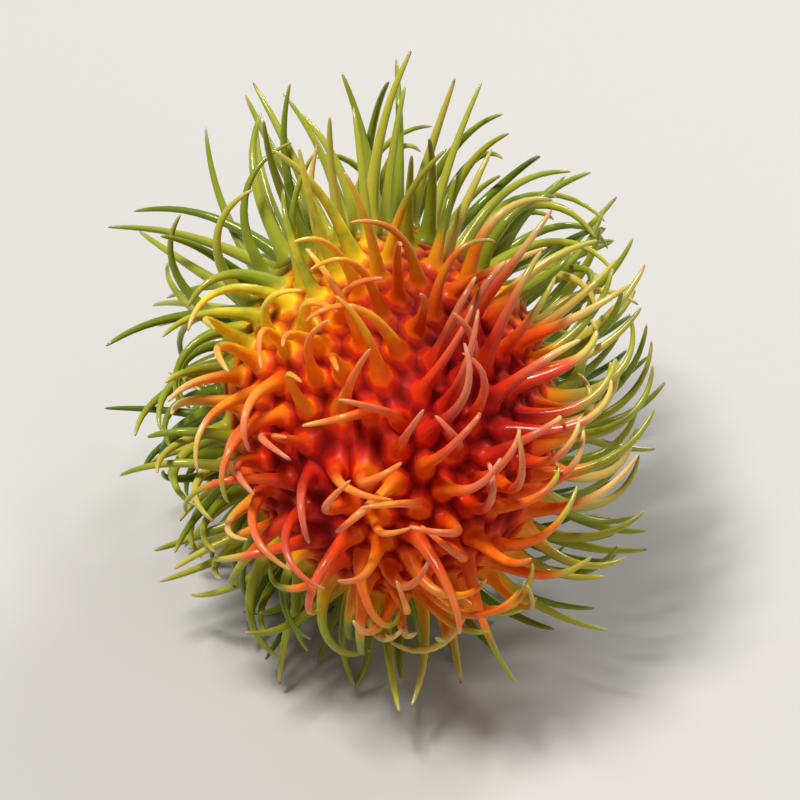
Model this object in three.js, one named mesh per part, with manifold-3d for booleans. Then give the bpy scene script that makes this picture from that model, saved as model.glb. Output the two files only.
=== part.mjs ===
// A rambutan as picked, lying on its side: an egg-shaped fruit whose leathery rind has grown into soft curved
// spines, with the short stub of its stalk at the far end. Its weight has bent the spines under it flat, and
// it rests on them.
// Millimetres. +Z is up, +Y runs along the fruit to its stalk end, and z = 0 is the surface that it lies on.
import * as THREE from "three";
import { ConvexHull } from "three/addons/math/ConvexHull.js";
import { mergeVertices } from "three/addons/utils/BufferGeometryUtils.js";
import Module from "manifold-3d";

const wasm = await Module();
wasm.setup();

// The body, without its spines.
const BODY_LENGTH = 47;
const BODY_WIDTH = 38;
const BODY_HEIGHT = 37;
const STALK_END_WIDER = 0.05; // share by which the stalk end is wider than the middle
const DIMPLE_DEPTH = 1.6; // the hollow in which the stalk stands
const DIMPLE_RADIUS = 5;
const STANDOFF = 4.5; // from the surface up to the body's lowest point
const BODY_X = -0.28; // the body's middle, from the middle of the footprint of all the spines
const BODY_Y = -3.98;

// Where the spines stand.
const SPINES = 375; // places on the whole body, of which some stay bare
const GOLDEN_ANGLE = Math.PI * (3 - Math.sqrt(5));
const PLACE_JITTER = 0.03; // share of the body's half width, either way
const LEAST_APART = 2.8; // a place nearer than this to one before it stays bare
const BARE_RADIUS = 4.4; // round the stalk
const BARE_CORNERS = 8; // of the ring of plain skin round the stalk
const BARE_CORNERS_RADIUS = 2.4;

// A spine's size.
const SPINE_LENGTH = 14;
const LENGTH_SPREAD = 0.2; // share of the length, either way
const STALK_END_LONGER = 0.5; // share by which the spines at the stalk end are longer
const LONGER_FROM = 0.2; // where this starts, from the middle to the stalk end
const LONGER_TO = 0.9;
const ROOT_RADIUS = 0.95;
const TIP_RADIUS = 0.18;
const FOOT_WIDER = 0.25; // share by which a spine's foot is wider still
const FOOT_HEIGHT = 1 / 14; // share of the length in which most of the foot's extra width is gone
const SHOULDER = 0.37; // share of the root's radius that is lost over the lower part of the spine
const SHOULDER_HEIGHT = 0.2;
const TAPER_POWER = 0.75;

// How a spine leans and curls. Angles are in radians.
const SWIRL_ACROSS = { turn: 2.1, waves: 2.7, phase: 1.1 }; // how the way of the curl changes across the body
const SWIRL_UP = { turn: 1.7, waves: 3.1, phase: 2.3 }; // and up it
const TURN_SPREAD = 2.2;
const LEAN = 0.34; // slope at which a spine leaves the skin
const LEAN_SPREAD = 0.24;
const LEAN_TURN_SPREAD = 1.4;
const CURL = 0.5; // share of half a turn that the whole spine bends through
const CURL_SPREAD = 0.32;
const CURL_POWER = 1.45; // most of the bend is near the tip
const HOOKED = 0.4; // share by which the spines of the blossom end curl more
const HOOKED_FROM = 0.5; // where this starts, from the middle to the blossom end
const HOOKED_TO = 0.9;
const TUFT = new THREE.Vector3(-0.05, 0.57, 0.82); // the middle of a tuft of straighter spines
const TUFT_STRAIGHTER = 0.65;
const TUFT_FROM = 0.75; // how far towards the middle of the tuft this starts
const TUFT_TO = 0.94;
const CAP = new THREE.Vector3(-0.13, -0.62, 0.77); // the middle of the ripe cap, whose spines bend later
const CAP_LATER = 1.3; // added to the power of the curl
const CAP_FROM = 0.5; // how far towards the middle of the cap this starts
const CAP_TO = 0.9;
const COMBED = [ // towards each place more of the curl turns one way, up to the share given
  { at: new THREE.Vector3(1, 0, 0), way: new THREE.Vector3(0.78, 0.36, 0.51), share: 0.85 },
  { at: new THREE.Vector3(-1, 0, 0), way: new THREE.Vector3(-0.12, -0.68, -0.72), share: 0.5 },
  { at: new THREE.Vector3(0, 0.8, 0.6), way: new THREE.Vector3(0.98, -0.17, 0), share: 0.3 },
];
const COMBED_FROM = 0.05; // how far towards each place this starts
const COMBED_TO = 0.75;
const UNDER_FROM = 0.35; // how steeply down the skin faces where the spines start to splay under the weight
const UNDER_TO = 0.95;
const SPLAY = 1.1;
const SPLAYED_STRAIGHTER = 0.6;
const PRESSED_SHARE = 0.3; // height of a pressed spine's middle, as a share of its radius beyond the tip's

// How a spine keeps clear of the others.
const STEPS = 12; // steps of each spine's path
const TRIES = 40; // ways to curl that are tried, until a spine is clear of those before it
const CLEARANCE = 0.3; // between the sides of two spines, at the points of their paths
const SHORTER_EACH_TRY = 0.012; // share of the length
const FOOT_STEPS = 3; // the first steps, which may be near the skin

// The facets of a spine.
const SIDES = 3;
const RING_STEPS = [0, 2, 4, 6, 9]; // steps of the path that carry a ring of corners, under the tip
const FACET_SHARE = 1.2; // a three-sided section is drawn this much wider to look as thick as a round one

// The stub of the stalk: its radius at each height over the dimple's floor.
const STALK_PROFILE = [[-2.4, 1.4], [-0.2, 1.6], [0.7, 2], [1.4, 1.6], [3.4, 1.4], [4.2, 1.6], [4.7, 1.5]];
const STALK_SIDES = 12;
const STALK_HOLE_RADIUS = 1.95;
const STALK_HOLE_DEPTH = 2.7;

const HALF_AXES = new THREE.Vector3(BODY_WIDTH / 2, BODY_LENGTH / 2, BODY_HEIGHT / 2);
const MIDDLE = new THREE.Vector3(BODY_X, BODY_Y, STANDOFF + HALF_AXES.z);
const TOWARDS_STALK = new THREE.Vector3(0, 1, 0);

// A repeatable number from -1 to 1 for each spine and each of its features.
function draw(spine, feature) {
  const wave = Math.sin(spine * 12.9898 + feature * 78.233) * 43758.5453;
  return 2 * (wave - Math.floor(wave)) - 1;
}

function smoothstep(low, high, x) {
  const t = Math.min(1, Math.max(0, (x - low) / (high - low)));
  return t * t * (3 - 2 * t);
}

// The skin in the direction u, a unit vector in the frame where the body is a ball.
function skinPoint(u) {
  const wide = 1 + STALK_END_WIDER * u.y;
  const point = u.clone().multiply(HALF_AXES);
  point.x *= wide;
  point.z *= wide;
  if (u.y > 0) {
    const fromAxis = Math.hypot(point.x, point.z) / DIMPLE_RADIUS;
    point.y -= DIMPLE_DEPTH * Math.exp(-fromAxis * fromAxis);
  }
  return point.add(MIDDLE);
}

// The direction of a point near the skin.
function directionOf(point) {
  return point.clone().sub(MIDDLE).divide(HALF_AXES).normalize();
}

// The skin's normal, and the two ways along it: towards the stalk end, and round the fruit.
function tangents(u) {
  const normal = u.clone().divide(HALF_AXES).normalize();
  const stalkward = TOWARDS_STALK.clone().addScaledVector(normal, -normal.y).normalize();
  return { normal, stalkward, sideways: new THREE.Vector3().crossVectors(normal, stalkward) };
}

// The places spiral round the long axis at equal areas, each moved a little.
function spinePlaces() {
  const places = [];
  for (let spine = 0; spine < SPINES; spine += 1) {
    const along = 1 - (2 * (spine + 0.5)) / SPINES;
    const ring = Math.sqrt(1 - along * along);
    const around = spine * GOLDEN_ANGLE;
    const moved = new THREE.Vector3(draw(spine, 1), draw(spine, 2), draw(spine, 3));
    const u = new THREE.Vector3(ring * Math.cos(around), along, ring * Math.sin(around));
    u.addScaledVector(moved, PLACE_JITTER).normalize();
    const bare = u.y > 0 && Math.hypot(u.x * HALF_AXES.x, u.z * HALF_AXES.z) < BARE_RADIUS;
    const crowded = places.some((other) => skinPoint(other.u).distanceTo(skinPoint(u)) < LEAST_APART);
    if (!bare && !crowded) places.push({ spine, u });
  }
  return places;
}

function spineRadius(t) {
  const foot = FOOT_WIDER * Math.exp(-t / FOOT_HEIGHT);
  const shoulder = SHOULDER * (Math.exp(-t / SHOULDER_HEIGHT) - 1);
  return TIP_RADIUS + (ROOT_RADIUS - TIP_RADIUS) * Math.pow(1 - t, TAPER_POWER) * (1 + shoulder + foot);
}

function swirl({ turn, waves, phase }, place) {
  return turn * Math.sin(waves * place + phase);
}

// The path of one spine: it leaves the skin, leans a little, and curls more and more towards its tip.
// Under the body it splays outwards, and it goes on along the surface where it meets it.
function spinePath({ spine, u }, attempt) {
  const { normal, stalkward, sideways } = tangents(u);
  const feature = 10 * attempt;
  const turn = swirl(SWIRL_ACROSS, u.x) + swirl(SWIRL_UP, u.z) + TURN_SPREAD * draw(spine, feature + 4);
  const leanTurn = turn + LEAN_TURN_SPREAD * draw(spine, feature + 5);
  const bent = 1 - TUFT_STRAIGHTER * smoothstep(TUFT_FROM, TUFT_TO, u.dot(TUFT));
  const lean = (LEAN + LEAN_SPREAD * draw(spine, feature + 6)) * bent;
  const under = smoothstep(UNDER_FROM, UNDER_TO, -normal.z);
  const outward = new THREE.Vector3(normal.x, normal.y, 0).normalize();
  const start = normal.clone()
    .addScaledVector(stalkward, lean * Math.cos(leanTurn))
    .addScaledVector(sideways, lean * Math.sin(leanTurn))
    .addScaledVector(outward, SPLAY * under)
    .normalize();
  const hooked = 1 + HOOKED * smoothstep(HOOKED_FROM, HOOKED_TO, -u.y);
  const splayed = 1 - SPLAYED_STRAIGHTER * under;
  const curl = (CURL + CURL_SPREAD * draw(spine, feature + 7)) * hooked * bent * splayed;
  const power = CURL_POWER + CAP_LATER * smoothstep(CAP_FROM, CAP_TO, u.dot(CAP));
  const curlTowards = stalkward.clone().multiplyScalar(Math.cos(turn));
  curlTowards.addScaledVector(sideways, Math.sin(turn));
  for (const { at, way, share } of COMBED) {
    curlTowards.lerp(way, share * smoothstep(COMBED_FROM, COMBED_TO, u.dot(at)));
  }
  curlTowards.addScaledVector(start, -curlTowards.dot(start)).normalize();
  const longer = STALK_END_LONGER * smoothstep(LONGER_FROM, LONGER_TO, u.y);
  const grown = (1 + LENGTH_SPREAD * draw(spine, 8) + longer) * (1 - SHORTER_EACH_TRY * attempt);
  const step = (SPINE_LENGTH * grown) / STEPS;

  const path = [skinPoint(u)];
  for (let k = 1; k <= STEPS; k += 1) {
    const t = k / STEPS;
    const angle = Math.PI * curl * Math.pow(t, power);
    const next = path[k - 1].clone()
      .addScaledVector(start, step * Math.cos(angle))
      .addScaledVector(curlTowards, step * Math.sin(angle));
    next.z = Math.max(next.z, PRESSED_SHARE * (spineRadius(t) - TIP_RADIUS));
    path.push(next);
  }
  return path;
}

// Whether a path keeps off the skin, past its foot, and off the paths grown before it.
function isClear(path, others) {
  const offSkin = path.every((point, k) => {
    const reach = point.clone().sub(MIDDLE).divide(HALF_AXES).length() - 1;
    return k < FOOT_STEPS || reach * HALF_AXES.z > spineRadius(k / STEPS) + CLEARANCE;
  });
  return offSkin && others.every((other) => path.every((a, k) => other.every((b, m) => {
    const apart = spineRadius(k / STEPS) + spineRadius(m / STEPS) + CLEARANCE;
    return (k === 0 && m === 0) || a.distanceToSquared(b) > apart * apart;
  })));
}

function spinePaths(places) {
  const paths = [];
  for (const place of places) {
    let path;
    for (let attempt = 0; attempt < TRIES; attempt += 1) {
      path = spinePath(place, attempt);
      if (isClear(path, paths)) break;
    }
    paths.push(path);
  }
  return paths;
}

// The corners of a spine's rings, from its foot on the skin upwards.
function ringCorners(place, path) {
  const { normal, stalkward } = tangents(place.u);
  const across = stalkward.clone();
  return RING_STEPS.map((step) => {
    const ahead = step === 0 ? normal : path[step + 1].clone().sub(path[step - 1]).normalize();
    across.addScaledVector(ahead, -across.dot(ahead)).normalize();
    const beside = new THREE.Vector3().crossVectors(ahead, across);
    const radius = spineRadius(step / STEPS) * FACET_SHARE;
    return Array.from({ length: SIDES }, (_, side) => {
      const turn = (2 * Math.PI * side) / SIDES;
      return path[step].clone()
        .addScaledVector(across, radius * Math.cos(turn))
        .addScaledVector(beside, radius * Math.sin(turn));
    });
  });
}

// Directions of the plain skin round the stalk.
function barePlaces() {
  const ring = Array.from({ length: BARE_CORNERS }, (_, corner) => {
    const turn = (2 * Math.PI * corner) / BARE_CORNERS;
    const offset = new THREE.Vector3(Math.cos(turn), 0, Math.sin(turn)).multiplyScalar(BARE_CORNERS_RADIUS);
    return directionOf(new THREE.Vector3(0, HALF_AXES.y, 0).add(MIDDLE).add(offset));
  });
  return [...ring, TOWARDS_STALK.clone()];
}

// One closed surface: the skin is stretched between the feet of the spines, whose walls rise from it.
function rindGeometry() {
  const places = spinePlaces();
  const paths = spinePaths(places);
  const rings = places.map((place, i) => ringCorners(place, paths[i]));
  const footDirections = [...rings.flatMap((corners) => corners[0].map(directionOf)), ...barePlaces()];
  const numberOf = new Map(footDirections.map((u, number) => [u, number]));
  const vertices = footDirections.map(skinPoint);
  const triangles = [];

  const feet = places.length * SIDES;
  for (const face of new ConvexHull().setFromPoints(footDirections).faces) {
    const corners = [0, 1, 2].map((i) => numberOf.get(face.getEdge(i).head().point));
    const owners = corners.map((number) => (number < feet ? Math.floor(number / SIDES) : -1));
    const isFoot = owners[0] >= 0 && owners[0] === owners[1] && owners[1] === owners[2];
    if (!isFoot) triangles.push(...corners);
  }
  rings.forEach((corners, i) => {
    let below = Array.from({ length: SIDES }, (_, side) => i * SIDES + side);
    for (const ring of corners.slice(1)) {
      const above = ring.map((corner) => vertices.push(corner) - 1);
      below.forEach((number, side) => {
        const beyond = (side + 1) % SIDES;
        triangles.push(number, below[beyond], above[beyond], number, above[beyond], above[side]);
      });
      below = above;
    }
    const tip = vertices.push(paths[i][STEPS]) - 1;
    below.forEach((number, side) => triangles.push(number, below[(side + 1) % SIDES], tip));
  });
  return new THREE.BufferGeometry().setFromPoints(vertices).setIndex(triangles);
}

function toSolid(geometry) {
  const plain = geometry.clone();
  plain.deleteAttribute("normal");
  plain.deleteAttribute("uv");
  const merged = mergeVertices(plain, 1e-4);
  return new wasm.Manifold(
    new wasm.Mesh({
      numProp: 3,
      vertProperties: merged.getAttribute("position").array,
      triVerts: new Uint32Array(merged.index.array),
    }),
  );
}

function toGeometry(solid) {
  const { numProp, numVert, vertProperties, triVerts } = solid.getMesh();
  const positions = new Float32Array(numVert * 3);
  for (let i = 0; i < numVert; i += 1) {
    positions.set(vertProperties.subarray(i * numProp, i * numProp + 3), i * 3);
  }
  return new THREE.BufferGeometry()
    .setAttribute("position", new THREE.BufferAttribute(positions, 3))
    .setIndex(new THREE.BufferAttribute(triVerts, 1));
}

// A shape turned about the fruit's axis, from its radius at each height over the dimple's floor.
function onAxis(profile, sides) {
  const outline = [[profile[0][0], 0], ...profile, [profile[profile.length - 1][0], 0]];
  const points = outline.map(([height, radius]) => new THREE.Vector2(radius, height));
  const floor = skinPoint(TOWARDS_STALK);
  return new THREE.LatheGeometry(points, sides).translate(floor.x, floor.y, floor.z);
}

function rindSolid() {
  const size = 4 * BODY_LENGTH;
  const belowSurface = new THREE.BoxGeometry(size, size, size).translate(0, 0, -size / 2);
  const holeEnds = [-STALK_HOLE_DEPTH, BODY_LENGTH / 4];
  const hole = onAxis(holeEnds.map((height) => [height, STALK_HOLE_RADIUS]), STALK_SIDES);
  return toSolid(rindGeometry()).subtract(toSolid(belowSurface)).subtract(toSolid(hole));
}

const rambutan = new THREE.Group();

const rind = new THREE.Mesh(
  toGeometry(rindSolid()),
  new THREE.MeshStandardMaterial({ color: 0xc23a12, roughness: 0.45, metalness: 0, flatShading: true }),
);
rind.name = "spiny_rind";
rambutan.add(rind);

const stalk = new THREE.Mesh(
  toGeometry(toSolid(onAxis(STALK_PROFILE, STALK_SIDES))),
  new THREE.MeshStandardMaterial({ color: 0x5d4429, roughness: 0.9, metalness: 0 }),
);
stalk.name = "stalk_stub";
rambutan.add(stalk);

export default rambutan;
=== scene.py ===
import math

import bmesh
import bpy
from mathutils import Matrix, Vector
from mathutils.kdtree import KDTree


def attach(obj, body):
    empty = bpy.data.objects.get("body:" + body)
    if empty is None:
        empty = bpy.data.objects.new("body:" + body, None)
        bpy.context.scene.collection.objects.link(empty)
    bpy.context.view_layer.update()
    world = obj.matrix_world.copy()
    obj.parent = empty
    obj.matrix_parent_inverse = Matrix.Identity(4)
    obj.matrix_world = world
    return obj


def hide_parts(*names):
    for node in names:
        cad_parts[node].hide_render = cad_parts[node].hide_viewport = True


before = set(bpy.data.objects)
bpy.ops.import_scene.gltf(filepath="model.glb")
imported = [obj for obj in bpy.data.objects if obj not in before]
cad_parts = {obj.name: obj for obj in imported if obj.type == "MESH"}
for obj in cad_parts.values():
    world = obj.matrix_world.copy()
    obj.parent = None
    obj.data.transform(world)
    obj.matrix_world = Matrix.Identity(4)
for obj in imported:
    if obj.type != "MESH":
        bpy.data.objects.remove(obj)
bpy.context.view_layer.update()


# The camera looks down on the fruit's blossom end, a little from its left. A long lens from half a metre
# away keeps the perspective flat.
VIEW_AZIMUTH = math.radians(-10)
VIEW_ELEVATION = math.radians(44)
VIEW_DISTANCE = 0.55
VIEW_LENS = 220
NEAREST_SEEN = 0.01
VIEW_TARGET = Vector((0.001, -0.0025, 0.0230))

away = Vector((
    math.sin(VIEW_AZIMUTH) * math.cos(VIEW_ELEVATION),
    -math.cos(VIEW_AZIMUTH) * math.cos(VIEW_ELEVATION),
    math.sin(VIEW_ELEVATION),
))
camera_data = bpy.data.cameras.new("camera")
camera_data.lens = VIEW_LENS
camera_data.clip_start = NEAREST_SEEN
camera = bpy.data.objects.new("camera", camera_data)
camera.location = VIEW_TARGET + VIEW_DISTANCE * away
camera.rotation_euler = away.to_track_quat("Z", "Y").to_euler()
bpy.context.scene.collection.objects.link(camera)
bpy.context.scene.camera = camera


# The rind is one leathery skin. Every few millimetres it rises into a low cone, which goes on as a soft
# spine that leans, tapers and curls, so skin and spines are one mesh. The spines stand along a spiral round
# the long axis, and each is grown so that it clears those before it. Sizes are in millimetres.
MM = 0.001
BODY_HALF = Vector((19.0, 23.5, 18.5))
BODY_MIDDLE = Vector((-0.28, -3.98, 23.0))
STALK_END_WIDER = 0.05
DIMPLE_DEPTH = 1.6
DIMPLE_RADIUS = 5.0

SPINES = 375  # places on the whole body, of which some stay bare
GOLDEN_ANGLE = math.pi * (3 - math.sqrt(5))
PLACE_JITTER = 0.03
LEAST_APART = 2.8
BARE_RADIUS = 4.4  # round the stalk
BARE_CORNERS = 8
BARE_CORNERS_RADIUS = 2.4

SPINE_LENGTH = 14.0
LENGTH_SPREAD = 0.2
STALK_END_LONGER = 0.5
LONGER_OVER = (0.2, 0.9)  # from the middle to the stalk end
ROOT_RADIUS = 0.95
TIP_RADIUS = 0.18
FOOT_WIDER = 0.25
FOOT_HEIGHT = 1 / 14
SHOULDER = 0.37
SHOULDER_HEIGHT = 0.2
TAPER_POWER = 0.75

SWIRL_ACROSS = (2.1, 2.7, 1.1)  # how far the way of the curl turns across the body, in waves, and up it
SWIRL_UP = (1.7, 3.1, 2.3)
TURN_SPREAD = 2.2
LEAN = 0.34  # slope at which a spine leaves the skin
LEAN_SPREAD = 0.24
LEAN_TURN_SPREAD = 1.4
CURL = 0.5  # share of half a turn that a whole spine bends through
CURL_SPREAD = 0.32
CURL_POWER = 1.45  # most of the bend is near the tip
HOOKED = 0.4  # share by which the spines of the blossom end curl more
HOOKED_OVER = (0.5, 0.9)
TUFT = Vector((-0.05, 0.57, 0.82))  # the middle of a tuft of straighter spines
TUFT_OVER = (0.75, 0.94)
TUFT_STRAIGHTER = 0.65
CAP = Vector((-0.13, -0.62, 0.77))  # the middle of the ripe cap, whose spines bend later
CAP_OVER = (0.5, 0.9)
CAP_LATER = 1.3
COMBED = (  # towards each place more of the curl turns one way, up to the share given
    (Vector((1, 0, 0)), Vector((0.78, 0.36, 0.51)), 0.85),
    (Vector((-1, 0, 0)), Vector((-0.12, -0.68, -0.72)), 0.5),
    (Vector((0, 0.8, 0.6)), Vector((0.98, -0.17, 0)), 0.3),
)
COMBED_OVER = (0.05, 0.75)
UNDER_OVER = (0.35, 0.95)  # how steeply down the skin faces where the weight splays the spines
SPLAY = 1.1
SPLAYED_STRAIGHTER = 0.6
PRESSED_SHARE = 0.3  # height of a pressed spine's middle, as a share of its radius beyond the tip's

STEPS = 12  # of each spine's path
TRIES = 40
CLEARANCE = 0.3
SHORTER_EACH_TRY = 0.012
FOOT_STEPS = 3  # the first steps, which may be near the skin

FOOT_CUT = 0.05  # half width of the flat that a spine grows from, on a ball of radius 1
RING_STEPS = (0.6, 1.6, 3.2, 5.0, 7.0, 9.0, 11.0)
THICKNESS_SPREAD = 0.12
GRAIN_APART = 10  # so that no two spines have the same grain
VALLEY_DEPTH = 0.9
SADDLE_DEPTH = 0.45
VALLEYS_END_OVER = (0.93, 0.985)  # near the stalk the skin is smooth

STALKWARD = Vector((0, 1, 0))


def draw(spine, feature):
    """A repeatable number from -1 to 1 for each spine and each of its features."""
    wave = math.sin(spine * 12.9898 + feature * 78.233) * 43758.5453
    return 2 * (wave - math.floor(wave)) - 1


def ease(low, high, x):
    t = min(1, max(0, (x - low) / (high - low)))
    return t * t * (3 - 2 * t)


def skin_point(u):
    """The skin in the direction u, a unit vector in the frame where the body is a ball."""
    wide = 1 + STALK_END_WIDER * u.y
    point = Vector((u.x * BODY_HALF.x * wide, u.y * BODY_HALF.y, u.z * BODY_HALF.z * wide))
    if u.y > 0:
        point.y -= DIMPLE_DEPTH * math.exp(-((math.hypot(point.x, point.z) / DIMPLE_RADIUS) ** 2))
    return point + BODY_MIDDLE


def direction_of(point):
    return Vector([(point[i] - BODY_MIDDLE[i]) / BODY_HALF[i] for i in range(3)])


def tangents(u):
    """The skin's normal, and the two ways along it: towards the stalk end, and round the fruit."""
    normal = Vector([u[i] / BODY_HALF[i] for i in range(3)]).normalized()
    stalkward = (STALKWARD - normal.y * normal).normalized()
    return normal, stalkward, normal.cross(stalkward)


def spine_places():
    """The places spiral round the long axis at equal areas, each moved a little."""
    places = []
    for spine in range(SPINES):
        along = 1 - 2 * (spine + 0.5) / SPINES
        ring = math.sqrt(1 - along * along)
        around = spine * GOLDEN_ANGLE
        moved = Vector((draw(spine, 1), draw(spine, 2), draw(spine, 3)))
        u = Vector((ring * math.cos(around), along, ring * math.sin(around))) + PLACE_JITTER * moved
        u.normalize()
        bare = u.y > 0 and math.hypot(u.x * BODY_HALF.x, u.z * BODY_HALF.z) < BARE_RADIUS
        crowded = any((skin_point(u) - skin_point(other)).length < LEAST_APART for _, other in places)
        if not bare and not crowded:
            places.append((spine, u))
    return places


def spine_radius(t):
    foot = FOOT_WIDER * math.exp(-t / FOOT_HEIGHT)
    shoulder = SHOULDER * (math.exp(-t / SHOULDER_HEIGHT) - 1)
    return TIP_RADIUS + (ROOT_RADIUS - TIP_RADIUS) * (1 - t) ** TAPER_POWER * (1 + shoulder + foot)


def swirl(turn, waves, phase, place):
    return turn * math.sin(waves * place + phase)


def spine_path(spine, u, attempt):
    """It leaves the skin, leans a little, and curls more and more towards its tip. Under the body it splays
    outwards, and it goes on along the surface where it meets it."""
    normal, stalkward, sideways = tangents(u)
    feature = 10 * attempt
    turn = swirl(*SWIRL_ACROSS, u.x) + swirl(*SWIRL_UP, u.z)
    turn += TURN_SPREAD * draw(spine, feature + 4)
    lean_turn = turn + LEAN_TURN_SPREAD * draw(spine, feature + 5)
    bent = 1 - TUFT_STRAIGHTER * ease(*TUFT_OVER, u.dot(TUFT))
    lean = (LEAN + LEAN_SPREAD * draw(spine, feature + 6)) * bent
    under = ease(*UNDER_OVER, -normal.z)
    outward = Vector((normal.x, normal.y, 0)).normalized()
    start = normal + lean * (math.cos(lean_turn) * stalkward + math.sin(lean_turn) * sideways)
    start = (start + SPLAY * under * outward).normalized()
    hooked = 1 + HOOKED * ease(*HOOKED_OVER, -u.y)
    splayed = 1 - SPLAYED_STRAIGHTER * under
    curl = (CURL + CURL_SPREAD * draw(spine, feature + 7)) * hooked * bent * splayed
    power = CURL_POWER + CAP_LATER * ease(*CAP_OVER, u.dot(CAP))
    curl_towards = math.cos(turn) * stalkward + math.sin(turn) * sideways
    for at, way, share in COMBED:
        curl_towards = curl_towards.lerp(way, share * ease(*COMBED_OVER, u.dot(at)))
    curl_towards = (curl_towards - curl_towards.dot(start) * start).normalized()
    grown = 1 + LENGTH_SPREAD * draw(spine, 8) + STALK_END_LONGER * ease(*LONGER_OVER, u.y)
    step = SPINE_LENGTH * grown * (1 - SHORTER_EACH_TRY * attempt) / STEPS

    path = [skin_point(u)]
    for k in range(1, STEPS + 1):
        t = k / STEPS
        angle = math.pi * curl * t ** power
        ahead = path[-1] + step * (math.cos(angle) * start + math.sin(angle) * curl_towards)
        ahead.z = max(ahead.z, PRESSED_SHARE * (spine_radius(t) - TIP_RADIUS))
        path.append(ahead)
    return path


def is_clear(path, others):
    """Whether a path keeps off the skin, past its foot, and off the paths grown before it."""
    for k, point in enumerate(path):
        radius = spine_radius(k / STEPS) + CLEARANCE
        height = (direction_of(point).length - 1) * BODY_HALF.z
        if k >= FOOT_STEPS and height <= radius:
            return False
        for _, index, distance in others.find_range(point, radius + spine_radius(0)):
            m = index % (STEPS + 1)
            if (k or m) and distance <= radius + spine_radius(m / STEPS):
                return False
    return True


def spine_paths(places):
    paths = []
    others = KDTree(0)
    others.balance()
    for spine, u in places:
        for attempt in range(TRIES):
            path = spine_path(spine, u, attempt)
            if is_clear(path, others):
                break
        paths.append(path)
        others = KDTree(len(paths) * (STEPS + 1))
        for index, point in enumerate(p for grown in paths for p in grown):
            others.insert(point, index)
        others.balance()
    return paths


def point_at(path, step):
    whole = min(int(step), STEPS - 1)
    return path[whole].lerp(path[whole + 1], step - whole)


def heading_at(path, step, normal):
    if step <= 0:
        return normal
    return (point_at(path, min(step + 1, STEPS)) - point_at(path, max(step - 1, 0))).normalized()


places = spine_places()
paths = spine_paths(places)

# The attribute along runs from 0 at a spine's foot to 1 at its tip, and below 0 in the skin between them.
VALLEY_ALONG = -1.0
SADDLE_ALONG = -0.6
MOUTH_ALONG = -0.5

# A net of skin is stretched over a ball, between the spines' places and a plain ring round the stalk.
bm = bmesh.new()
along = bm.verts.layers.float.new("along")
tone = bm.verts.layers.float.new("tone")
grain = bm.verts.layers.float_vector.new("grain")
spine_of = bm.faces.layers.int.new("spine")
spiny = [bm.verts.new(u) for _, u in places]
bare_height = BODY_MIDDLE.y + BODY_HALF.y
for corner in range(BARE_CORNERS):
    turn = 2 * math.pi * corner / BARE_CORNERS
    x, z = BARE_CORNERS_RADIUS * math.cos(turn), BARE_CORNERS_RADIUS * math.sin(turn)
    bm.verts.new(direction_of(Vector((x, bare_height, z + BODY_MIDDLE.z))).normalized())
stalk_vert = bm.verts.new(STALKWARD)
bmesh.ops.convex_hull(bm, input=bm.verts)
mouth = bmesh.ops.dissolve_faces(bm, faces=stalk_vert.link_faces)["region"][0]

# Each place is cut flat for its spine's foot. Between the feet the net's edges sink to saddles, and its
# faces to valleys.
feet = bmesh.ops.bevel(
    bm, geom=spiny, offset=FOOT_CUT, offset_type="OFFSET", affect="VERTICES", segments=1, profile=0.5,
    material=-1, clamp_overlap=False,
)["faces"]
kept = {mouth, *feet}
saddles = [edge for edge in bm.edges if not kept.intersection(edge.link_faces)]
cut = bmesh.ops.subdivide_edges(bm, edges=saddles, cuts=1, use_grid_fill=False)
saddle_verts = {g for g in cut["geom_inner"] if isinstance(g, bmesh.types.BMVert)}
skin = [face for face in bm.faces if face not in kept]
valley_verts = set(bmesh.ops.poke(bm, faces=skin)["verts"])

for v in bm.verts:
    u = v.co.normalized()
    sink = VALLEY_DEPTH if v in valley_verts else SADDLE_DEPTH if v in saddle_verts else 0
    fade = 1 - ease(*VALLEYS_END_OVER, u.y)
    v[along] = VALLEY_ALONG if v in valley_verts else SADDLE_ALONG if v in saddle_verts else 0
    v.co = skin_point(u) - sink * fade * tangents(u)[0]

# The corners of each foot are spread evenly round it, and the spine keeps their places as its grain.
place_tree = KDTree(len(places))
for index, (_, u) in enumerate(places):
    place_tree.insert(skin_point(u), index)
place_tree.balance()
frames = [tangents(u)[:2] for _, u in places]
for foot in feet:
    foot[spine_of] = index = place_tree.find(foot.calc_center_median())[1]
    normal, across = frames[index]
    beside = normal.cross(across)
    sides = len(foot.verts)
    turned = Vector((0, 0))
    for corner, v in enumerate(foot.verts):
        offset = v.co - paths[index][0]
        turn = math.atan2(offset.dot(beside), offset.dot(across)) - 2 * math.pi * corner / sides
        turned += Vector((math.cos(turn), math.sin(turn)))
    first = math.atan2(turned.y, turned.x)
    for corner, v in enumerate(foot.verts):
        turn = first + 2 * math.pi * corner / sides
        v[grain] = (math.cos(turn), math.sin(turn), 0)

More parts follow.
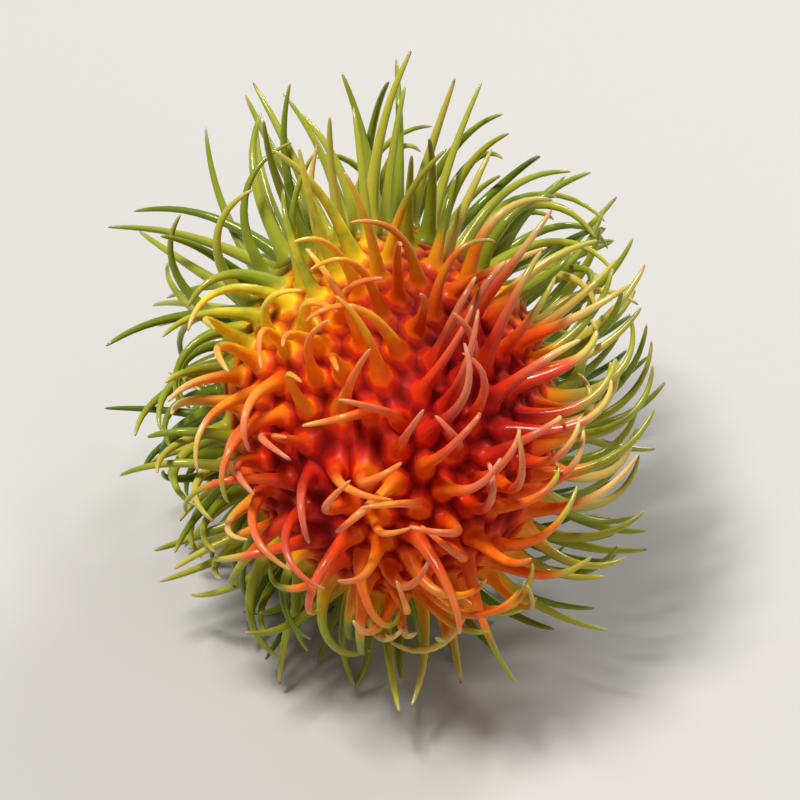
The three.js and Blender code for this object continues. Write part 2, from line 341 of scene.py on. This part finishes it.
# The spines rise from their feet ring by ring, and end in a point.
grown = feet
for step in (0,) + RING_STEPS:
    if step:
        grown = bmesh.ops.extrude_discrete_faces(bm, faces=grown)["faces"]
    for face in grown:
        index = face[spine_of]
        spine, path = places[index][0], paths[index]
        normal, across = frames[index]
        heading = heading_at(path, step, normal)
        across = (across - across.dot(heading) * heading).normalized()
        beside = heading.cross(across)
        frames[index] = (normal, across)
        middle = point_at(path, step)
        thickness = (1 + THICKNESS_SPREAD * draw(spine, 9)) / math.cos(math.pi / len(face.verts))
        radius = spine_radius(step / STEPS) * thickness
        for v in face.verts:
            cosine, sine = v[grain][0], v[grain][1]
            v.co = middle + radius * (cosine * across + sine * beside)
            v.co.z = max(v.co.z, 0)
            if step == 0:
                v.co = skin_point(direction_of(v.co).normalized())
            v[along] = step / STEPS
            v[tone] = draw(spine, 10)
            v[grain] = (cosine, sine, step / STEPS + GRAIN_APART * spine)
for v in bmesh.ops.poke(bm, faces=grown)["verts"]:
    index = v.link_faces[0][spine_of]
    v.co = paths[index][STEPS]
    v[along] = 1
    v[tone] = draw(places[index][0], 10)
    v[grain] = (0, 0, 1 + GRAIN_APART * places[index][0])

# The hole that the stalk stands in, by its radius at each height over the dimple's floor.
MOUTH_RINGS = ((2.15, 0.25), (1.95, 0.05), (1.9, -0.4), (1.9, -1.4), (1.2, -1.7))
for radius, height in MOUTH_RINGS:
    mouth = bmesh.ops.extrude_discrete_faces(bm, faces=[mouth])["faces"][0]
    for v in mouth.verts:
        outwards = Vector((v.co.x - BODY_MIDDLE.x, 0, v.co.z - BODY_MIDDLE.z)).normalized()
        v.co = skin_point(STALKWARD) + height * STALKWARD + radius * outwards
        v[along] = MOUTH_ALONG if height > 0 else VALLEY_ALONG


def rounded_piece(name, shape):
    """A piece from its shape in millimetres, with its facets rounded off."""
    bmesh.ops.recalc_face_normals(shape, faces=shape.faces)
    bmesh.ops.transform(shape, matrix=Matrix.Scale(MM, 4), verts=shape.verts)
    for face in shape.faces:
        face.smooth = True
    mesh = bpy.data.meshes.new(name)
    shape.to_mesh(mesh)
    shape.free()
    piece = bpy.data.objects.new(name, mesh)
    bpy.context.scene.collection.objects.link(piece)
    rounded = piece.modifiers.new("rounded", "SUBSURF")
    rounded.levels = rounded.render_levels = 1
    return piece


rind = rounded_piece("rind", bm)


SHARE_SOCKET = 0
FIRST_COLOUR_SOCKET = 6
SECOND_COLOUR_SOCKET = 7
MIXED_COLOUR_SOCKET = 2


class Wire:
    """A socket in a material. Arithmetic on it adds Math nodes, and add() makes any other node."""

    def __init__(self, tree, socket=None):
        self.tree = tree
        self.socket = socket

    def add(self, kind, settings=None, sockets=None, output=0):
        node = self.tree.nodes.new(kind)
        for name, value in (settings or {}).items():
            if name == "stops":
                for place, colour in value[2:]:
                    node.color_ramp.elements.new(place)
                for element, (place, colour) in zip(node.color_ramp.elements, value):
                    element.position = place
                    element.color = (*colour, 1)
            else:
                setattr(node, name, value)
        for name, value in (sockets or {}).items():
            if isinstance(value, Wire):
                self.tree.links.new(value.socket, node.inputs[name])
            else:
                node.inputs[name].default_value = value
        return Wire(self.tree, node.outputs[output] if node.outputs else None)

    def math(self, operation, *values):
        return self.add("ShaderNodeMath", {"operation": operation}, dict(enumerate(values)))

    def __add__(self, other):
        return self.math("ADD", self, other)

    def __radd__(self, other):
        return self.math("ADD", other, self)

    def __sub__(self, other):
        return self.math("SUBTRACT", self, other)

    def __rsub__(self, other):
        return self.math("SUBTRACT", other, self)

    def __mul__(self, other):
        return self.math("MULTIPLY", self, other)

    def __rmul__(self, other):
        return self.math("MULTIPLY", other, self)

    def clamped(self):
        return self.add("ShaderNodeClamp", None, {"Value": self})

    def step(self, low, high):
        """This value eased from 0 at the low value to 1 at the high one."""
        return self.add("ShaderNodeMapRange", {"interpolation_type": "SMOOTHSTEP"},
                        {"Value": self, "From Min": low, "From Max": high})

    def noise(self, scale, detail, roughness):
        return self.add("ShaderNodeTexNoise", None,
                        {"Vector": self, "Scale": scale, "Detail": detail, "Roughness": roughness})

    def mix(self, low, high, blend="MIX"):
        """This value as the share of the second colour over the first."""
        first, second = [c if isinstance(c, Wire) else (*c, 1) for c in (low, high)]
        settings = {"data_type": "RGBA", "blend_type": blend}
        sockets = {SHARE_SOCKET: self, FIRST_COLOUR_SOCKET: first, SECOND_COLOUR_SOCKET: second}
        return self.add("ShaderNodeMix", settings, sockets, MIXED_COLOUR_SOCKET)

    def dot(self, direction):
        settings = {"operation": "DOT_PRODUCT"}
        return self.add("ShaderNodeVectorMath", settings, {0: self, 1: direction}, "Value")

    def finish(self):
        self.add("ShaderNodeOutputMaterial", None, {"Surface": self})


def new_material(name):
    material = bpy.data.materials.new(name)
    material.use_nodes = True
    material.node_tree.nodes.clear()
    return material, Wire(material.node_tree)


# The ripe side, the patches of colour and the unripe flanks, as directions from the fruit's middle. Each is
# eased in over the cosines given.
RIPE_SIDE = Vector((-0.04, -0.76, 0.65))
RIPENING_OVER = (-0.1, 0.7)
RIPE_OVER = (-0.5, 0.4)
TURNING_OVER = (-0.05, 1.05)
YELLOW_PATCH = Vector((-0.48, 0.36, 0.80))
YELLOW_OVER = (0.80, 0.96)
RUSSET_PATCH = Vector((0.22, -0.04, 0.97))
RUSSET_OVER = (0.88, 0.98)
CRIMSON_PATCH = Vector((0.42, -0.52, 0.74))
CRIMSON_OVER = (0.84, 0.99)
CRIMSON_PALE_OVER = (0.78, 0.97)
RED_PATCH = Vector((-0.74, -0.64, 0.21))
RED_OVER = (0.86, 0.99)
RED_PALE_OVER = (0.6, 0.95)
ORANGE_SIDE = Vector((0.14, -0.95, 0.28))
ORANGE_OVER = (0.5, 0.9)
RIGHT_FLANK = Vector((0.92, -0.15, 0.36))
RIGHT_OVER = (0.45, 0.85)
TOP_SIDE = Vector((0.12, 0.83, 0.55))
TOP_OVER = (0.64, 0.88)
LEFT_FLANK = Vector((-0.89, 0.39, -0.23))
LEFT_OVER = (0.52, 0.82)
CORK_OVER = (0.982, 0.996)

# Each noise by its scale, detail and roughness.
PATCH_NOISE = (2.4, 2.0, 0.5)
MOTTLE_NOISE = (230.0, 3.0, 0.6)
FIBRE_NOISE = (2.6, 3.0, 0.6)
PEBBLE_NOISE = (1100.0, 2.0, 0.6)

GREENING_LENGTH = 0.32  # share of a spine over which its shaft's colour gives way to its tip's
PALE_SHAFT = (0.95, 0.50, 0.25)
RUSSET_SHADE = (0.62, 0.58, 0.50)
DRY_TIP = (0.66, 0.44, 0.26)
WITHERED_TIP = (0.10, 0.05, 0.022)
# Painted shade at the spines' feet, multiplied into the colour, for unripe and ripe skin.
UNRIPE_FOOT_PAINTED_SHADE = (0.80, 0.68, 0.38)
RIPE_FOOT_PAINTED_SHADE = (0.88, 0.48, 0.28)
# Painted shade in the valleys between the spines, multiplied into the colour: brownish on unripe skin, dark
# red on ripe skin.
UNRIPE_VALLEY_PAINTED_SHADE = (0.36, 0.24, 0.11)
RIPE_VALLEY_PAINTED_SHADE = (0.34, 0.11, 0.06)
CORK = (0.26, 0.15, 0.06)
RELIEF_HEIGHT = 0.0002

rind_finish, nodes = new_material("rind_finish")
here = nodes.add("ShaderNodeTexCoord", output="Object")
along_wire = nodes.add("ShaderNodeAttribute", {"attribute_name": "along"}, output="Fac")
tone_wire = nodes.add("ShaderNodeAttribute", {"attribute_name": "tone"}, output="Fac")
grain_wire = nodes.add("ShaderNodeAttribute", {"attribute_name": "grain"}, output="Vector")
from_middle = nodes.add("ShaderNodeVectorMath", {"operation": "SUBTRACT"}, {0: here, 1: MM * BODY_MIDDLE})
on_ball = nodes.add("ShaderNodeVectorMath", {"operation": "DIVIDE"}, {0: from_middle, 1: MM * BODY_HALF})
facing = nodes.add("ShaderNodeVectorMath", {"operation": "NORMALIZE"}, {0: on_ball})

# How ripe each place is, and the colours of its skin and of its spines' tips, from unripe to ripe.
patches = facing.noise(*PATCH_NOISE) - 0.5
mottle = here.noise(*MOTTLE_NOISE) - 0.5
ripe_side = facing.dot(RIPE_SIDE)
ripeness = 0.36 + 0.26 * ripe_side.step(*RIPENING_OVER) + 0.45 * patches + 0.05 * tone_wire
crimson = facing.dot(CRIMSON_PATCH)
red = facing.dot(RED_PATCH)
yellow = facing.dot(YELLOW_PATCH).step(*YELLOW_OVER)
redness = ripeness + 0.27 * crimson.step(*CRIMSON_OVER) + 0.24 * red.step(*RED_OVER)
redness = redness + 0.11 * facing.dot(ORANGE_SIDE).step(*ORANGE_OVER)
russet = facing.dot(RUSSET_PATCH).step(*RUSSET_OVER)
redness = (redness + 0.02 * russet - 0.27 * yellow).clamped()
# The skin low round the spines' feet and between them: this mask reddens the skin there a little and
# carries painted shade.
hollow_red_and_painted_shade = 1 - along_wire.step(-0.3, 0.2)
ripe = ripe_side.step(*RIPE_OVER)
skin_colour = nodes.add("ShaderNodeValToRGB", {"stops": [
    (0.16, (0.26, 0.33, 0.02)),
    (0.32, (0.90, 0.70, 0.02)),
    (0.48, (0.95, 0.42, 0.010)),
    (0.64, (0.92, 0.17, 0.006)),
    (0.80, (0.74, 0.045, 0.006)),
    (1.00, (0.50, 0.012, 0.008)),
]}, {"Fac": (redness + 0.40 * mottle + 0.16 * ripe * hollow_red_and_painted_shade - 0.06).clamped()})
tip_colour = nodes.add("ShaderNodeValToRGB", {"stops": [
    (0.20, (0.10, 0.16, 0.006)),
    (0.38, (0.24, 0.29, 0.012)),
    (0.54, (0.47, 0.45, 0.037)),
    (0.70, (0.86, 0.56, 0.170)),
    (1.00, (0.90, 0.48, 0.300)),
]}, {"Fac": (ripeness + 0.12 * tone_wire).clamped()})

# How far up a spine its shaft's colour turns into its tip's. The ripest spines don't turn at all.
turning = 1.2 * ripe_side.step(*TURNING_OVER) - 0.14 + 0.5 * patches + 0.08 * tone_wire
turning = turning - 0.35 * facing.dot(RIGHT_FLANK).step(*RIGHT_OVER)
turning = turning - 0.60 * facing.dot(TOP_SIDE).step(*TOP_OVER) + 0.30 * yellow
turning = turning - 0.45 * facing.dot(LEFT_FLANK).step(*LEFT_OVER)
greening = nodes.add("ShaderNodeMapRange", {"interpolation_type": "SMOOTHSTEP"},
                     {"Value": along_wire, "From Min": turning, "From Max": turning + GREENING_LENGTH})
paling = 0.08 + 0.10 * tone_wire + 0.24 * crimson.step(*CRIMSON_PALE_OVER) + 0.14 * red.step(*RED_PALE_OVER)
paling = paling * along_wire.step(0.15, 0.75)
shaft_colour = paling.mix(skin_colour, PALE_SHAFT)
colour = greening.mix(shaft_colour, tip_colour)
colour = (0.85 * russet).mix(colour, RUSSET_SHADE, "MULTIPLY")

# Dry brown tips, a few of them withered, painted shade on the skin round the spines' feet and between them,
# and cork round the stalk.
dried = along_wire.step(0.84, 1.0) * (0.45 + 0.3 * tone_wire)
colour = dried.clamped().mix(colour, DRY_TIP)
withered = (0.02 * tone_wire + along_wire).step(0.93, 1.0) * tone_wire.step(0.55, 0.75)
colour = (0.8 * withered).mix(colour, WITHERED_TIP)
# Painted shade at the spines' feet, tinted by ripeness.
colour = hollow_red_and_painted_shade.mix(colour, ripe.mix(UNRIPE_FOOT_PAINTED_SHADE, RIPE_FOOT_PAINTED_SHADE), "MULTIPLY")
sunken = (0 - along_wire).step(0.0, 1.0)
# Painted shade in the valleys, deeper than at the feet, tinted brown on the unripe side and red on the ripe
# side.
colour = sunken.mix(colour, ripe.mix(UNRIPE_VALLEY_PAINTED_SHADE, RIPE_VALLEY_PAINTED_SHADE), "MULTIPLY")
corky = facing.dot(STALKWARD).step(*CORK_OVER) * (1 - sunken)
colour = (0.7 * corky).mix(colour, CORK)

# Fine lengthwise fibres on the spines, and pebbled skin between them.
fibres = (grain_wire.noise(*FIBRE_NOISE) - 0.5) * along_wire.step(0.0, 0.08)
pebbles = here.noise(*PEBBLE_NOISE) - 0.5
relief = 0.7 * fibres + (0.4 + 1.1 * sunken) * pebbles
bump = nodes.add("ShaderNodeBump", None, {"Strength": 0.5, "Distance": RELIEF_HEIGHT, "Height": relief})
rind_surface = nodes.add("ShaderNodeBsdfPrincipled", None, {
    "Base Color": colour,
    "Roughness": 0.40 + 0.25 * fibres + 0.45 * sunken,
    "Normal": bump,
    "Specular IOR Level": 0.12,
    "Subsurface Weight": 0.10,
    "Subsurface Radius": (0.6, 0.25, 0.1),
    "Subsurface Scale": MM,
    "Coat Weight": 0.55 * along_wire.step(-0.05, 0.12),
    "Coat Roughness": 0.10,
})
rind_surface.finish()
rind.data.materials.append(rind_finish)
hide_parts("spiny_rind")
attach(rind, "root")


# The stub of the stalk is woody. It swells into a joint over the dimple, its bark is ribbed along it, and
# its end is pale and uneven where it was torn off the twig.
STALK_PROFILE = (  # its radius at each height over the dimple's floor, the height first
    (-2.3, 0), (-2.3, 1.30), (-1.2, 1.38), (-0.2, 1.50), (0.30, 1.74), (0.70, 1.90), (1.05, 1.76),
    (1.5, 1.50), (2.2, 1.38), (3.0, 1.33), (3.7, 1.40), (4.15, 1.54), (4.45, 1.50), (4.42, 1.28),
    (4.25, 1.10), (4.35, 0.72), (4.3, 0.36), (4.4, 0),
)
STALK_SIDES = 36
RIBS = 9
RIB_DEPTH = 0.05  # share of the radius
FINE_RIB_SHARE = 0.6
RIB_WANDER = 0.8
RIB_WAVES = 1.3
TORN_FROM = 4.2
TORN_RIM = 0.1
TORN_INSIDE = (1.2, 1.45)
TORN_SPREAD = 0.22

bm = bmesh.new()
torn = bm.verts.layers.float.new("torn")
outline = [bm.verts.new((radius, height, 0)) for height, radius in STALK_PROFILE]
lines = [bm.edges.new(ends) for ends in zip(outline, outline[1:])]
bmesh.ops.spin(
    bm, geom=outline + lines, axis=STALKWARD, angle=2 * math.pi, steps=STALK_SIDES, use_merge=True,
)
bmesh.ops.remove_doubles(bm, verts=bm.verts, dist=1e-4)
for number, v in enumerate(bm.verts):
    around = math.atan2(v.co.x, v.co.z)
    rib = math.sin(RIBS * around + RIB_WANDER * math.sin(RIB_WAVES * v.co.y))
    rib += FINE_RIB_SHARE * math.sin(2 * RIBS * around + v.co.y)
    v.co.x *= 1 - RIB_DEPTH * (0.5 + 0.5 * rib)
    v.co.z *= 1 - RIB_DEPTH * (0.5 + 0.5 * rib)
    inside = 1 - ease(*TORN_INSIDE, math.hypot(v.co.x, v.co.z))
    v[torn] = ease(TORN_FROM, TORN_FROM + TORN_RIM, v.co.y) * inside
    if v.co.y >= TORN_FROM:
        v.co.y += TORN_SPREAD * draw(number, 1)
bmesh.ops.translate(bm, vec=skin_point(STALKWARD), verts=bm.verts)
stalk = rounded_piece("stalk", bm)

DRAWN_OUT = (1, 0.18, 1)  # the wood's grain runs along the stalk
STRAND_NOISE = (2200.0, 4.0, 0.6)
BLOTCH_NOISE = (500.0, 2.0, 0.5)
DARK_BARK = (0.055, 0.032, 0.016)
LIGHT_BARK = (0.27, 0.18, 0.095)
GREENISH_BARK = (0.17, 0.16, 0.055)
DARK_WOOD = (0.33, 0.22, 0.11)
LIGHT_WOOD = (0.66, 0.54, 0.34)

stalk_finish, nodes = new_material("stalk_finish")
here = nodes.add("ShaderNodeTexCoord", output="Object")
torn_wire = nodes.add("ShaderNodeAttribute", {"attribute_name": "torn"}, output="Fac")
drawn_out = nodes.add("ShaderNodeVectorMath", {"operation": "MULTIPLY"}, {0: here, 1: DRAWN_OUT})
strands = drawn_out.noise(*STRAND_NOISE)
blotches = here.noise(*BLOTCH_NOISE)
bark_colour = strands.step(0.35, 0.65).mix(DARK_BARK, LIGHT_BARK)
bark_colour = (0.6 * blotches.step(0.45, 0.65)).mix(bark_colour, GREENISH_BARK)
torn_colour = strands.step(0.40, 0.60).mix(DARK_WOOD, LIGHT_WOOD)
bump = nodes.add("ShaderNodeBump", None, {"Strength": 0.6, "Distance": RELIEF_HEIGHT, "Height": strands})
stalk_surface = nodes.add("ShaderNodeBsdfPrincipled", None, {
    "Base Color": torn_wire.mix(bark_colour, torn_colour),
    "Roughness": 0.65 + 0.25 * strands,
    "Normal": bump,
    "Specular IOR Level": 0.3,
})
stalk_surface.finish()
stalk.data.materials.append(stalk_finish)
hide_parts("stalk_stub")
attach(stalk, "root")


# The surface is a wide pale board. A soft studio light hangs to the upper left, with weaker ones to the
# right.
FLOOR_SIZE = 6.0
FLOOR_COLOUR = (0.52, 0.51, 0.49, 1)
bm = bmesh.new()
bmesh.ops.create_grid(bm, x_segments=1, y_segments=1, size=FLOOR_SIZE / 2)
floor_mesh = bpy.data.meshes.new("floor")
bm.to_mesh(floor_mesh)
bm.free()
floor = bpy.data.objects.new("floor", floor_mesh)
bpy.context.scene.collection.objects.link(floor)
floor_finish, nodes = new_material("floor_finish")
board = nodes.add("ShaderNodeBsdfPrincipled", None, {"Base Color": FLOOR_COLOUR, "Roughness": 0.6})
board.finish()
floor_mesh.materials.append(floor_finish)


def softbox(name, place, size, watts, colour):
    light = bpy.data.lights.new(name, "AREA")
    light.shape = "DISK"
    light.size = size
    light.energy = watts
    light.color = colour
    lamp = bpy.data.objects.new(name, light)
    lamp.location = place
    lamp.rotation_euler = (Vector(place) - VIEW_TARGET).to_track_quat("Z", "Y").to_euler()
    bpy.context.scene.collection.objects.link(lamp)


softbox("key", (-0.25, 0.05, 0.75), 0.20, 6.8, (1.0, 0.98, 0.95))
softbox("fill", (0.50, -0.55, 0.40), 0.60, 1.2, (1.0, 0.99, 0.97))
softbox("rim", (0.45, 0.45, 0.40), 0.16, 3.0, (1.0, 0.99, 0.98))

ROOM_COLOUR = (0.95, 0.96, 1.0, 1)
ROOM_LIGHT = 0.16
world = bpy.data.worlds.new("world")
world.use_nodes = True
room = world.node_tree.nodes["Background"]
room.inputs["Color"].default_value = ROOM_COLOUR
room.inputs["Strength"].default_value = ROOM_LIGHT
bpy.context.scene.world = world
bpy.context.scene.view_settings.view_transform = "Standard"
